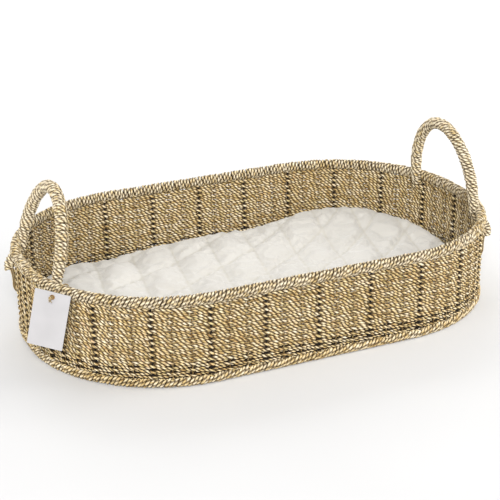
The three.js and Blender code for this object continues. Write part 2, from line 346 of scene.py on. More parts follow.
def seagrass(name, dryness):
    """Twisted grass: every strand mixes cream, straw, olive, tan and brown blades.

    With a `dryness` of 1 no blade is green or rusty. Shade is painted into the colour: the creases between
    strands and plies turn dark brown and nearly black.
    """
    m = Nodes(name)
    fibre = m.attribute("fibre", "Vector")
    blades = m.noise(m.scaled(fibre, (2.0, 2.0, 0.9)), 1.0, 2.0, 0.6)
    streaks = m.noise(m.scaled(fibre, (5.5, 5.5, 1.6)), 1.0, 2.0, 0.6)
    blotches = m.noise(m.scaled(fibre, (0.5, 0.5, 0.55)), 1.0, 1.0)
    tone = m.math("ADD", m.attribute("tone"), m.math("MULTIPLY", m.math("SUBTRACT", blades, 0.5), 1.9))
    tone = m.math("ADD", tone, m.math("MULTIPLY", m.math("SUBTRACT", streaks, 0.5), 1.1), clamp=True)
    dry = m.ramp(tone, [
        (0.0, (0.09, 0.040, 0.010)), (0.17, (0.30, 0.165, 0.050)), (0.36, (0.58, 0.40, 0.155)),
        (0.54, (0.76, 0.57, 0.265)), (0.74, (0.92, 0.75, 0.44)), (0.95, (1.0, 0.90, 0.69)),
    ])
    green = m.mix(m.math("MULTIPLY", m.math("SUBTRACT", blotches, 0.52), 4.0, clamp=True),
                  dry, (0.56, 0.49, 0.21))
    rusty = m.mix(m.math("MULTIPLY", m.math("SUBTRACT", 0.40, blotches), 5.0, clamp=True),
                  green, (0.66, 0.38, 0.17))
    mixed = m.mix(dryness, rusty, dry)
    painted_shade = m.attribute("painted_shade")
    # Painted shade: dark brown, then nearly black, where the painted-shade attribute is high.
    shaded = m.mix(painted_shade, mixed, (0.15, 0.085, 0.028))
    colour = m.mix(m.math("POWER", painted_shade, 3.0), shaded, (0.012, 0.006, 0.002))
    height = m.math("ADD", m.math("MULTIPLY", blades, 0.6), m.math("MULTIPLY", streaks, 0.7))
    return m.finish(colour, m.span(streaks, 0.48, 0.82), m.bump(height, 0.0011, 0.9),
                    specular=0.22)


def painted_iron():
    m = Nodes("black_iron")
    spots = m.noise(m.position(), 260.0, 3.0)
    colour = m.ramp(spots, [(0.3, (0.006, 0.006, 0.006)), (0.75, (0.022, 0.019, 0.016))])
    return m.finish(colour, m.span(spots, 0.6, 0.85), m.bump(spots, 0.0002, 0.5), specular=0.15)


def quilt_cotton():
    m = Nodes("quilt_cotton")
    at = m.position()
    weave = m.math("MULTIPLY", m.wave(at, 420.0, "X", 0.6), m.wave(at, 420.0, "Y", 0.6))
    slubs = m.noise(m.scaled(at, (1.0, 9.0, 1.0)), 60.0, 3.0, 0.6)
    clouds = m.noise(at, 9.0, 2.0)
    colour = m.ramp(clouds, [(0.3, (0.48, 0.464, 0.432)), (0.7, (0.53, 0.515, 0.484))])
    seam = m.mix(m.attribute("seam"), colour, (0.455, 0.434, 0.385))
    height = m.math("ADD", m.math("MULTIPLY", weave, 0.5), slubs)
    return m.finish(seam, m.span(slubs, 0.8, 0.95), m.bump(height, 0.0003, 0.6),
                    sheen=0.35, sheen_roughness=0.6, specular=0.2)


def tag_card():
    m = Nodes("white_card")
    at = m.position()
    pulp = m.noise(at, 700.0, 4.0, 0.65)
    cloud = m.noise(at, 30.0, 2.0)
    colour = m.ramp(cloud, [(0.3, (0.42, 0.413, 0.425)), (0.7, (0.46, 0.452, 0.465))])
    return m.finish(colour, m.span(pulp, 0.62, 0.8), m.bump(pulp, 0.00015, 0.5), specular=0.3)


def eyelet_brass():
    m = Nodes("eyelet_brass")
    wear = m.noise(m.position(), 1400.0, 3.0)
    colour = m.ramp(wear, [(0.3, (0.33, 0.17, 0.07)), (0.7, (0.58, 0.38, 0.17))])
    return m.finish(colour, m.span(wear, 0.25, 0.5), m.bump(wear, 0.0001, 0.4), metallic=1.0)


WALL_GRASS = seagrass("wall_seagrass", 0.35)
ROLL_GRASS = seagrass("rim_seagrass", 0.65)
IRON = painted_iron()

# ---- camera, light and floor ---------------------------------------------------------------

CAMERA_TURN = math.radians(-24.03)
CAMERA_TILT = math.radians(22.2)
CAMERA_ROLL = math.radians(-0.85)
CAMERA_DISTANCE = 2.167
CAMERA_ASIDE = -0.0068
CAMERA_RAISE = 0.0751
CAMERA_LENS = 100.3
WARM_WHITE = (1.0, 0.985, 0.96)
SUN_WHITE = (1.0, 0.985, 0.955)
WORLD_LIGHT = 0.46
FLOOR_HALF = 20.0


def add_camera():
    back = Vector((math.sin(CAMERA_TURN) * math.cos(CAMERA_TILT),
                   -math.cos(CAMERA_TURN) * math.cos(CAMERA_TILT), math.sin(CAMERA_TILT)))
    level = Vector((math.cos(CAMERA_TURN), math.sin(CAMERA_TURN), 0))
    above = back.cross(level)
    right = math.cos(CAMERA_ROLL) * level + math.sin(CAMERA_ROLL) * above
    up = math.cos(CAMERA_ROLL) * above - math.sin(CAMERA_ROLL) * level
    at = Vector((0, 0, BASE_Z)) + right * CAMERA_ASIDE + up * CAMERA_RAISE + back * CAMERA_DISTANCE
    data = bpy.data.cameras.new("camera")
    data.lens = CAMERA_LENS
    data.sensor_width = 36
    camera = bpy.data.objects.new("camera", data)
    SCENE.collection.objects.link(camera)
    camera.matrix_world = Matrix((
        (right.x, up.x, back.x, at.x), (right.y, up.y, back.y, at.y),
        (right.z, up.z, back.z, at.z), (0, 0, 0, 1)))
    SCENE.camera = camera


def add_softbox(name, at, aim, size, power, colour=(1, 1, 1)):
    data = bpy.data.lights.new(name, "AREA")
    data.shape = "RECTANGLE"
    data.size, data.size_y = size
    data.energy = power
    data.color = colour
    light = bpy.data.objects.new(name, data)
    light.location = at
    light.rotation_euler = (Vector(aim) - Vector(at)).to_track_quat("-Z", "Y").to_euler()
    SCENE.collection.objects.link(light)


def add_sunlight(name, towards, strength, softness, colour):
    data = bpy.data.lights.new(name, "SUN")
    data.energy = strength
    data.angle = math.radians(softness)
    data.color = colour
    light = bpy.data.objects.new(name, data)
    light.rotation_euler = Vector(towards).to_track_quat("-Z", "Y").to_euler()
    SCENE.collection.objects.link(light)


def add_studio():
    add_sunlight("key", (0.42, 1.0, -0.72), 3.05, 26, SUN_WHITE)
    add_softbox("right", (2.6, -1.0, 1.2), (0, 0, 0.05), (1.8, 1.2), 58, WARM_WHITE)
    add_softbox("left", (-2.6, -0.8, 1.2), (0, 0, 0.05), (1.8, 1.2), 26, WARM_WHITE)
    add_softbox("back", (0.4, 2.9, 2.5), (0.1, 0.9, 0), (3.4, 2.0), 64)
    world = bpy.data.worlds.new("studio")
    world.use_nodes = True
    world.node_tree.nodes["Background"].inputs["Color"].default_value = (1, 1, 1, 1)
    world.node_tree.nodes["Background"].inputs["Strength"].default_value = WORLD_LIGHT
    SCENE.world = world
    SCENE.view_settings.view_transform = "Standard"
    corners = np.array([[-1, -1, 0], [1, -1, 0], [1, 1, 0], [-1, 1, 0]]) * FLOOR_HALF
    floor = mesh_piece("studio_floor", corners, np.arange(4), np.array([4]))
    m = Nodes("studio_paper")
    grain = m.noise(m.position(), 3.0, 2.0)
    floor.data.materials.append(m.finish(
        m.ramp(grain, [(0.3, (0.63, 0.633, 0.643)), (0.7, (0.65, 0.653, 0.663))]),
        m.span(grain, 0.85, 0.95)))


# ---- handles' path -------------------------------------------------------------------------

HANDLE_ROOT_X = 0.338
HANDLE_HALF_SPAN = 0.088
# Side of the basket, how high the arch rises over the rim wire and how far its top leans inwards
HANDLES = {"left": (-1, 0.107, 0.029), "right": (1, 0.112, 0.009)}
HANDLE_R = 0.0082             # radius of a handle's legs at the rim
HANDLE_FAT = 0.0096           # radius of its arch
HANDLE_STEP = 0.0012          # from one point of a handle's path to the next
# A leg goes through the wall: how far it lies outside the rim's line at each height
LEG_OUTSIDE = np.array([0.0132, 0.0130, 0.0090, 0.0010, -0.0055, -0.0085])
LEG_HEIGHT = np.array([0.086, 0.094, 0.1025, 0.1105, 0.119, 0.130])
LEG_TURN = math.atan2(HANDLE_HALF_SPAN - END_Y, HANDLE_ROOT_X - END_X)
LEG_DISTANCE = END_Y + RIM_RADIUS * LEG_TURN
LEGS = [LEG_DISTANCE, PERIMETER / 2 - LEG_DISTANCE,
        PERIMETER / 2 + LEG_DISTANCE, PERIMETER - LEG_DISTANCE]     # distances round the rim


def beside_leg(side, end, outside, z):
    """A point on a leg's upright plane, so far outside the rim's line."""
    reach = RIM_RADIUS + outside
    return np.array([side * (END_X + math.cos(LEG_TURN) * reach),
                     end * (END_Y + math.sin(LEG_TURN) * reach), z])


def smooth_path(points, step):
    """An even, smooth curve through points."""
    points = np.asarray(points, float)
    before, after = 2 * points[0] - points[1], 2 * points[-1] - points[-2]
    padded = np.vstack([before, points, after])
    t = np.linspace(0, 1, 24, endpoint=False)[:, None]
    parts = []
    for p0, p1, p2, p3 in zip(padded[:-3], padded[1:-2], padded[2:-1], padded[3:]):
        parts.append(0.5 * (2 * p1 + (p2 - p0) * t + (2 * p0 - 5 * p1 + 4 * p2 - p3) * t ** 2
                            + (3 * p1 - p0 - 3 * p2 + p3) * t ** 3))
    dense = np.vstack([*parts, points[-1:]])
    along = np.concatenate([[0], np.cumsum(np.linalg.norm(np.diff(dense, axis=0), axis=1))])
    even = np.linspace(0, along[-1], max(int(along[-1] / step), 2) + 1)
    return np.stack([np.interp(even, along, dense[:, k]) for k in range(3)], 1)


def handle_path(side, rise, lean):
    """A handle's middle line, up one leg, over the arch and down the other leg."""
    leg = list(zip(LEG_OUTSIDE[:-1], LEG_HEIGHT[:-1]))
    arch = []
    for angle in np.linspace(0, math.pi, 9):
        up = math.sin(angle)
        arch.append([side * (HANDLE_ROOT_X - lean * up), HANDLE_HALF_SPAN * math.cos(angle),
                     RIM_Z + rise * up])
    near = [beside_leg(side, 1, outside, z) for outside, z in leg]
    far = [beside_leg(side, -1, outside, z) for outside, z in leg[::-1]]
    return smooth_path([*near, *arch, *far], HANDLE_STEP)


# ---- woven wall ----------------------------------------------------------------------------

COLUMNS_PER_STAKE = 3         # an iron stake, then two thin ones of grass
CELL = STAKE_PITCH / COLUMNS_PER_STAKE
COLUMNS = STAKES * COLUMNS_PER_STAKE
CORD_PITCH = 0.0044
WALL_CORDS = 26
CORDS_PER_BAND = 4            # cords that make up one piece of the wall
SWING = 0.0029                # how far a cord swings out past a grass stake
SWING_AT_IRON = 0.0037
IRON_REACH = 0.0060           # distance from an iron stake within which a cord changes
CORD_HALF_SIDE = 0.00262      # half a cord's height on the wall
CORD_HALF_OUT = 0.0024        # half its thickness through the wall
CORD_TONE = 0.66
GRASS_STAKE_R = 0.0013
GRASS_STAKE_TWIST = 0.009
GRASS_STAKE_PAINTED_SHADE = 0.35        # how much shade is painted on the stakes, which lie deep between the cords
FILLING_R = 0.0015
FILLING_PAINTED_SHADE = 0.75            # how much shade is painted on the filling, away from the stakes
FILLING_REACH = 0.0065        # distance from a grass stake within which the filling is thinner and has less painted shade
DARK_REACH = 0.0030           # distance from an iron stake within which the filling is painted black, as shade
OPEN_CORDS = 5                # the lowest cords are thinner, with gaps between them
LEG_CLEAR = 0.0106            # from a leg's middle to the cords that go round it
LEG_HALF_GAP = 0.0125         # half the length of wall that makes way for it


def stake_nearness(along):
    off = np.mod(along + STAKE_PITCH / 2, STAKE_PITCH) - STAKE_PITCH / 2
    return np.exp(-(off / IRON_REACH) ** 2)


def pushed_by_legs(distance, off, z):
    """Cords that meet a handle's leg go round it, outside it near the rim and inside it lower down."""
    if z < LEG_HEIGHT[0] - 0.004:
        return off
    leg = np.interp(z, LEG_HEIGHT, LEG_OUTSIDE)
    way = 1 if leg < 0 else -1
    for at in LEGS:
        beside = np.mod(distance - at + PERIMETER / 2, PERIMETER) - PERIMETER / 2
        bulge = LEG_CLEAR * np.sqrt(np.clip(1 - (beside / LEG_HALF_GAP) ** 2, 0, 1))
        target = np.where(bulge > 0, leg + way * bulge, off)
        off = np.maximum(off, target) if way > 0 else np.minimum(off, target)
    kernel = np.array([1, 3, 4, 3, 1]) / 12
    ends = np.concatenate([off[-2:], off, off[:2]])
    return np.convolve(ends, kernel, "valid")


def weave(strands, base, out, across, along, order, rng, loose=0.0, closed=True, sides=12, push=None,
          flat=1.0):
    """One cord woven in front of one stake and behind the next.

    `order` is 0 or 1, a `loose` cord is thinner, `push` moves it aside, and `flat` presses the weave.
    """
    n = len(along)
    span = abs(along[-1] - along[0])
    knots = max(int(span / 0.05), 3)
    cells = max(int(span / CELL * 2.5), 3)
    near = stake_nearness(along)
    swing_side = np.cos(math.pi * along / CELL + order * math.pi)
    swing = (SWING + (SWING_AT_IRON - SWING) * near) * (1 + 0.12 * wander(n, cells, rng, closed))
    steep = np.sign(swing_side) * np.abs(swing_side) ** (5 + 4 * near)
    off = flat * swing * (0.18 * swing_side + 0.82 * steep)
    if push is not None:
        off = push(off)
    face = swing_side ** 4
    fat = 1 + 0.12 * wander(n, cells, rng, closed)
    rise = 0.00045 * wander(n, cells, rng, closed)
    half_side = (CORD_HALF_SIDE + (0.0006 * near - 0.0003) * face) * fat * (1 - 0.36 * loose)
    half_out = flat * (CORD_HALF_OUT - 0.0003 * face) * (2 - fat) * (1 - 0.12 * loose)
    path = base + out * off[:, None] + across * rise[:, None]
    tone = CORD_TONE + 0.13 * wander(n, knots, rng, closed) + 0.20 * wander(n, cells, rng, closed)
    strands.tube(path, out, half_out, half_side, tone, rng, 0.0, sides, closed,
                 twist=rng.uniform(0.0130, 0.0160))


def add_wall():
    samples = COLUMNS * 22
    distance = np.arange(samples) * PERIMETER / samples
    sag = 0.0007 * wander(samples, STAKES * 2, np.random.default_rng(40), True)
    for first in range(0, WALL_CORDS, CORDS_PER_BAND):
        rng = np.random.default_rng(100 + first)
        strands = Strands(f"wall_band_{first // CORDS_PER_BAND + 1}")
        for number in range(first, min(first + CORDS_PER_BAND, WALL_CORDS)):
            z = WALL_LOW + number * CORD_PITCH
            spot, out = plan(distance, wall_radius(z))
            base = spot + UP * (z + sag)[:, None]
            loose = max(0.0, 1 - number / OPEN_CORDS)
            weave(strands, base, out, np.broadcast_to(UP, base.shape), distance, number % 2, rng, loose,
                  push=lambda off, z=z: pushed_by_legs(distance, off, z))
        strands.build(WALL_GRASS, "basket", "seagrass", "wall_weave")


def add_wall_core():
    """The grass stakes, and the strands inside the wall that close it behind and between its cords; these
    inner strands are painted dark as shade, black beside the iron stakes and in the lowest rows.
    """
    strands = Strands("wall_core")
    samples = COLUMNS * 8
    distance = np.arange(samples) * PERIMETER / samples
    rng = np.random.default_rng(61)
    column = np.round(distance / CELL).astype(int)
    at_iron = column % COLUMNS_PER_STAKE == 0
    off = distance - column * CELL
    beside = np.exp(-(off / FILLING_REACH) ** 2) * ~at_iron
    # Painted shade on the inner strands: dark, lighter beside the grass stakes and black beside the iron
    # ones.
    shade = FILLING_PAINTED_SHADE - 0.45 * beside + (1 - FILLING_PAINTED_SHADE) * np.exp(-(off / DARK_REACH) ** 2) * at_iron
    for number in range(WALL_CORDS - 1):
        z = WALL_LOW + (number + 0.5) * CORD_PITCH
        spot, out = plan(distance, wall_radius(z))
        across = FILLING_R * (1 - 0.35 * beside)
        # The inner strands below the open cords are painted black, as the shade behind the gaps.
        strands.tube(spot + UP * z, out, across * 0.8, across, rng.uniform(0.3, 0.6), rng,
                     shade if number >= OPEN_CORDS else 1.0, 5, True,
                     ply_depth=0.1, contact_shade=0.0)
    add_grass_stakes(strands)
    strands.build(WALL_GRASS, "basket", "seagrass", "wall_weave")


def add_grass_stakes(strands):
    """The thin stakes of grass between the iron ones, darkened by painted shade where they lie between the
    cords.
    """
    rng = np.random.default_rng(60)
    z = np.arange(BASE_Z + 0.004, RIM_Z - 0.004, 0.0018)
    for column in range(COLUMNS):
        if column % COLUMNS_PER_STAKE == 0:
            continue
        spot, out = plan(np.full_like(z, column * CELL), wall_radius(z).reshape(-1))
        path = spot + UP * z[:, None]
        strands.tube(path, out, GRASS_STAKE_R, GRASS_STAKE_R, rng.uniform(0.2, 0.5), rng,
                     GRASS_STAKE_PAINTED_SHADE, 7, twist=GRASS_STAKE_TWIST)


# ---- floor weave ---------------------------------------------------------------------------

CORDS_PER_LONG_WIRE = 15      # cords from one long iron wire to the next
FLOOR_CORD_PITCH = LONG_WIRE_Y / CORDS_PER_LONG_WIRE


def add_floor_weave():
    halves = {name: Strands(f"floor_weave_{name}") for name in ("front", "back")}
    reach = BASE_RADIUS - 0.0050
    cords = int((END_Y + reach) / FLOOR_CORD_PITCH)
    for number in range(-cords, cords + 1):
        y = number * FLOOR_CORD_PITCH
        past = max(abs(y) - END_Y, 0)
        if past >= reach or number % CORDS_PER_LONG_WIRE == 0:
            continue
        half = END_X + math.sqrt(reach ** 2 - past ** 2)
        x = np.arange(-half, half, CELL / (11))
        base = np.stack([x, np.full_like(x, y), np.full_like(x, CROSS_WIRE_Z)], 1)
        rng = np.random.default_rng(300 + number)
        down = np.broadcast_to(-UP, base.shape)
        across = np.broadcast_to(np.array([0.0, 1.0, 0.0]), base.shape)
        weave(halves["front" if y < 0 else "back"], base, down, across, x, number % 2, rng,
              closed=False, sides=7, flat=0.75)
    for strands in halves.values():
        strands.build(WALL_GRASS, "basket", "seagrass", "base_weave")


# ---- rolls and wraps -----------------------------------------------------------------------


WRAP_THICK = 0.0024           # half the thickness of a wrapped strand
WRAP_SIDES = 10
ROLL_HALF_WIDTH = 0.0078
ROLL_HALF_HEIGHT = 0.0090
BASE_ROLL_HALF_WIDTH = 0.0066
BASE_ROLL_HALF_HEIGHT = 0.0074
ROLL_PITCH = 0.0054           # from one wrap to the next
ROLL_SAMPLES = 700
HANDLE_WRAP_PITCH = 0.0050
HANDLE_WRAP_HALF = 0.0027     # half the width of a handle's wraps
HANDLE_SWELL = 0.035          # height over the rim in which a handle reaches its full radius
FILLER_TONE = 0.3
# The filler's painted shade, standing for the shadow between the wraps
FILLER_PAINTED_SHADE = 0.85


def wrap(strands, path, out, across, pitch, ring, half_across, rng, lean, per_turn, uneven_gaps, mean_tone,
         ply_depth, twist, contact_shade, closed=False):
    """One strand wound round a path.

    `ring` holds the half width and half height of its turns, and `lean` carries each turn forward along
    the path over its outer face.
    """
    along = np.concatenate([[0], np.cumsum(np.linalg.norm(np.diff(path, axis=0), axis=1))])
    total = along[-1] + (np.linalg.norm(path[0] - path[-1]) if closed else 0)
    turns = max(int(round(total / pitch)), 1)
    n = turns * per_turn
    at = np.arange(n) / per_turn
    uneven = 0.17 * wander(n, turns, rng, closed)
    uneven += uneven_gaps * wander(n, max(turns // 5, 2), rng, closed) * 3
    angle = 2 * math.pi * at - math.pi / 2
    place_at = np.mod(at + uneven, turns) if closed else np.clip(at + uneven, 0, turns)
    shifted = place_at * total / turns + lean * 0.5 * np.sin(angle)
    shifted = np.mod(shifted, total) if closed else np.clip(shifted, 0, total)

    def sample(values):
        ends = np.vstack([values, values[:1]]) if closed else values
        marks = np.append(along, total) if closed else along
        return np.stack([np.interp(shifted, marks, column) for column in ends.T], 1)

    centre, outward, upward = sample(path), unit(sample(out)), unit(sample(across))
    wide, high = [sample(np.broadcast_to(r, (len(path),))[:, None])[:, 0] for r in ring]
    loose = 1 + 0.06 * wander(n, turns * 2, rng, closed)
    line = centre + (outward * (wide * loose * np.cos(angle))[:, None]
                     + upward * (high * loose * np.sin(angle))[:, None])
    direction = outward * (high * np.cos(angle))[:, None] + upward * (wide * np.sin(angle))[:, None]
    fat = 1 + 0.15 * wander(n, turns * 2, rng, closed)
    tone = mean_tone + 0.12 * wander(n, max(turns // 7, 2), rng, closed)
    tone += 0.2 * wander(n, turns, rng, closed)
    strands.tube(line, direction, WRAP_THICK * fat, half_across * fat, tone, rng, 0.0, WRAP_SIDES, closed,
                 ply_depth=ply_depth, twist=twist, contact_shade=contact_shade)


def filler(strands, path, out, half_width, half_height, rng, closed):
    """The strands inside a roll, which show between its wraps; they are painted dark, as the shade there.
    """
    tone = FILLER_TONE + 0.1 * wander(len(path), 40, rng, closed)
    strands.tube(path, out, half_width, half_height, tone, rng, FILLER_PAINTED_SHADE, WRAP_SIDES, closed,
                 ply_depth=0.1, twist=0.03)


def add_roll(name, radius, z, half_width, half_height, seed, node, **strand):
    """A closed roll round the basket: wraps over a filler, in one piece."""
    rng = np.random.default_rng(seed)
    distance = np.arange(ROLL_SAMPLES) * PERIMETER / ROLL_SAMPLES
    spot, out = plan(distance, radius)
    path = spot + UP * z
    strands = Strands(name)
    wide, high = half_width - WRAP_THICK, half_height - WRAP_THICK
    wrap(strands, path, out, np.broadcast_to(UP, path.shape), ROLL_PITCH, (wide, high), ROLL_PITCH * 0.46,
         rng, per_turn=16, uneven_gaps=0.07, contact_shade=0.90, closed=True, **strand)
    filler(strands, path, out, wide - WRAP_THICK, high - WRAP_THICK, rng, True)
    strands.build(ROLL_GRASS, "basket", "seagrass", node)


def add_rolls():
    add_roll("rim_overcast", RIM_RADIUS, RIM_TOP - 0.0091, ROLL_HALF_WIDTH, ROLL_HALF_HEIGHT, 7,
             "rim_braid", lean=0.0062, mean_tone=0.86, ply_depth=0.29, twist=0.0125)
    # The base roll is toned darker than the rim: painted shade near the floor.
    add_roll("base_overcast", BASE_RADIUS, 0.0076, BASE_ROLL_HALF_WIDTH, BASE_ROLL_HALF_HEIGHT, 8,
             "base_braid", lean=0.0048, mean_tone=0.74, ply_depth=0.28, twist=0.0130)


def carried_frame(path, first):
    """Directions across a path that don't spin along it."""
    tangent = unit(np.gradient(path, axis=0))
    out = np.empty_like(path)
    direction = np.asarray(first, float)
    for i, forward in enumerate(tangent):
        direction = direction - forward * np.dot(direction, forward)
        direction = direction / np.linalg.norm(direction)
        out[i] = direction
    return out, np.cross(tangent, out)


def add_handles():
    for number, (name, (side, rise, lean)) in enumerate(HANDLES.items()):
        rng = np.random.default_rng(20 + number)
        path = handle_path(side, rise, lean)
        out, across = carried_frame(path, (side, 0, 0))
        strands = Strands(f"handle_{name}_wraps")
        fatter = np.clip((path[:, 2] - RIM_Z) / HANDLE_SWELL, 0, 1)
        reach = HANDLE_R + (HANDLE_FAT - HANDLE_R) * fatter - WRAP_THICK
        wrap(strands, path, out, across, HANDLE_WRAP_PITCH, (reach, reach), HANDLE_WRAP_HALF, rng,
             lean=0.004, per_turn=20, uneven_gaps=0.02, mean_tone=1.02,
             ply_depth=0.30, twist=0.0120, contact_shade=0.45)
        filler(strands, path, out, reach - WRAP_THICK, reach - WRAP_THICK, rng, False)
        for end in (-1, 1):
            add_tail(strands, side, end, rng)
        strands.build(ROLL_GRASS, "basket", "seagrass", f"handle_{name}_wrap",
                      f"handle_{name}_front_tail", f"handle_{name}_back_tail")


TAIL_STRANDS = 4
TAIL_SPACING = 0.0037
# Where a tail's strands lie: how far outside the rim's line, at each height
TAIL_LINE = [(0.0124, 0.0985), (0.0112, 0.092), (0.0092, 0.084), (0.0080, 0.077), (0.0076, 0.069),
             (0.0074, 0.061), (0.0052, 0.0555), (0.0012, 0.0535)]


def add_tail(strands, side, end, rng):
    """The strands that leave a leg's wraps and lie flat on the wall, with their tips pushed into it."""
    sideways = np.array([-math.sin(LEG_TURN) * side, math.cos(LEG_TURN) * end, 0]) * (side * end)
    outward = np.array([math.cos(LEG_TURN) * side, math.sin(LEG_TURN) * end, 0])
    for k in range(TAIL_STRANDS):
        spread = (k - (TAIL_STRANDS - 1) / 2) * TAIL_SPACING
        line = []
        for outside, z in TAIL_LINE:
            fan = min(max((TAIL_LINE[0][1] - z) / 0.018, 0.35), 1)
            low = rng.uniform(-0.0012, 0.0012) if z < 0.06 else 0
            line.append(beside_leg(side, end, outside, z + low) + sideways * spread * fan)
        path = smooth_path(line, 0.0016)
        out = np.broadcast_to(outward, path.shape)
        tone = 0.66 + 0.12 * wander(len(path), 5, rng)
        strands.tube(path, out, 0.0021, 0.0024, tone, rng, sides=9, ply_depth=0.12, twist=0.03)


# ---- pad -----------------------------------------------------------------------------------

PAD_REACH = 0.1905            # arc radius of the pad's edge before it swells
PAD_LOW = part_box("pad_cover_bottom")[0].z + 0.0008
PAD_MIDDLE = 0.042            # height of the top in the middle, between the seams
PAD_NOSE = 0.015              # how far the pad's widest line lies below its top
PAD_VOXEL = 0.0052
SEAM_RISE = (0.63, 0.45)      # slope and bend of the seams that rise to the right
SEAM_STEP = 0.0855
SEAM_FIRST = 0.167
CROSS_LEAN = 0.19             # the seams of the other family run nearly across the basket
CROSS_STEP = 0.0655
CROSS_FIRST = 0.0275
SEAM_DROP = 0.0050            # how deep the seams lie in the blank
PAD_AROUND = 360              # points round the blank
PAD_RINGS = 42
# Height of the pad's top near its edge, at points round it
EDGE_POINTS = [
    (0.353, -0.001, 0.046), (0.340, 0.087, 0.055), (0.307, 0.142, 0.061), (0.269, 0.177, 0.064),
    (0.220, 0.203, 0.060), (0.107, 0.214, 0.043), (0.033, 0.214, 0.045), (-0.075, 0.214, 0.042),
    (-0.158, 0.214, 0.037), (-0.194, 0.210, 0.030), (-0.240, 0.195, 0.040), (-0.320, 0.120, 0.052),
    (-0.353, 0.000, 0.056), (-0.300, -0.150, 0.043), (-0.100, -0.214, 0.040), (0.120, -0.214, 0.044),
    (0.310, -0.140, 0.042),
]


def seam_distances(x, y):
    """Distances in the plan from the nearest seam of each of the two families."""
    rising = y - (SEAM_RISE[0] * x + SEAM_RISE[1] * x ** 2) - SEAM_FIRST
    slope = SEAM_RISE[0] + 2 * SEAM_RISE[1] * x
    first = (np.mod(rising + SEAM_STEP / 2, SEAM_STEP) - SEAM_STEP / 2) / np.sqrt(1 + slope ** 2)
    cross = x - CROSS_LEAN * y - CROSS_FIRST
    second = (np.mod(cross + CROSS_STEP / 2, CROSS_STEP) - CROSS_STEP / 2) / math.hypot(1, CROSS_LEAN)
    return np.abs(first), np.abs(second)


def inward_of_edge(x, y):
    past_x, past_y = np.maximum(np.abs(x) - END_X, 0), np.maximum(np.abs(y) - END_Y, 0)
    return np.maximum(PAD_REACH - np.hypot(past_x, past_y), 0)


def round_the_pad(x, y):
    """Direction from the middle, measured so that a full turn follows the pad's outline evenly."""
    return np.arctan2(y / (END_Y + PAD_REACH), x / (END_X + PAD_REACH))


def pad_faces(x, y):
    """Heights of the pad's upper and lower faces, before the stuffing swells it."""
    guide = np.array(EDGE_POINTS)
    turn = round_the_pad(guide[:, 0], guide[:, 1])
    edge = np.interp(round_the_pad(x, y), turn[np.argsort(turn)], guide[np.argsort(turn), 2],
                     period=2 * math.pi)
    inward = inward_of_edge(x, y)
    crease = np.exp(-(np.minimum(*seam_distances(x, y)) / 0.0080) ** 2) * np.clip(inward / 0.03, 0.3, 1)
    nose = np.maximum(edge - PAD_NOSE, PAD_LOW + 0.007)
    crown = PAD_MIDDLE + (edge - PAD_MIDDLE) * np.exp(-(inward / 0.075) ** 2) - SEAM_DROP * crease
    bend_up = np.sqrt(1 - (1 - np.clip(inward / 0.022, 0, 1)) ** 2)
    bend_down = np.sqrt(1 - (1 - np.clip(inward / 0.030, 0, 1)) ** 2)
    return nose + (crown - nose) * bend_up, nose - (nose - PAD_LOW) * bend_down


def on_top(places):
    """How far points lie above the middle of the pad's thickness."""
    upper, lower = pad_faces(places[:, 0], places[:, 1])
    return places[:, 2] - (upper + lower) / 2


def pad_blank():
    """The closed pad as rings from its edge to its middle line, above and below."""
    around = PAD_AROUND
    distance = np.arange(around) * PERIMETER / around
    rings = []
    for part in np.linspace(0, 1, PAD_RINGS) ** 1.5:
        rings.append(plan(distance, PAD_REACH * (1 - part))[0][:, :2])
    inner = rings[-1]
    for squeeze in (0.66, 0.33, 0.02):
        rings.append(inner * (1, squeeze))
    flat = np.concatenate(rings)
    upper, lower = pad_faces(flat[:, 0], flat[:, 1])
    points = np.concatenate([np.column_stack([flat, upper]), np.column_stack([flat, lower])[around:]])
    ring = np.arange(len(rings))[:, None] * around
    top = ring + np.arange(around)
    bottom = np.vstack([top[:1], top[1:] + len(flat) - around])
    quads, caps = [], []
    for layer, flip in ((top, False), (bottom, True)):
        a, b = layer[:-1], np.roll(layer[:-1], -1, 1)
        c, d = np.roll(layer[1:], -1, 1), layer[1:]
        faces = np.stack([a, b, c, d], 2).reshape(-1, 4)
        quads.append(faces[:, ::-1] if flip else faces)
        caps.append(layer[-1][::-1] if flip else layer[-1])
    corners = np.concatenate([np.concatenate(quads).ravel(), *caps])
    sizes = np.concatenate([np.full(sum(map(len, quads)), 4), [around, around]])
    return mesh_piece("quilted_pad", points, corners, sizes)


def applied(piece, kind, **settings):
    """Adds a modifier to a piece and makes its result the piece's own mesh."""
    modifier = piece.modifiers.new(kind.lower(), kind)
    for key, value in settings.items():
        setattr(modifier, key, value)
    keep_evaluated(piece)


def keep_evaluated(piece):
    graph = bpy.context.evaluated_depsgraph_get()
    mesh = bpy.data.meshes.new_from_object(piece.evaluated_get(graph), depsgraph=graph)
    piece.modifiers.clear()
    piece.data = mesh


def vertex_places(piece):
    places = np.empty(len(piece.data.vertices) * 3, np.float32)
    piece.data.vertices.foreach_get("co", places)
    return places.reshape(-1, 3).astype(float)


def set_places(piece, places):
    piece.data.vertices.foreach_set("co", np.ascontiguousarray(places, np.float32).ravel())
    piece.data.update()


SWELL_LIMIT = 0.012           # how far the stuffing may push a point of the cover
SWELL_FRAMES = 20
PUCKER = 0.0017               # height of the small gathers that run out from the seams
PUCKER_PITCH = 0.0075         # how often they come, along a seam
PUCKER_REACH = 0.015          # how far from the seam they run


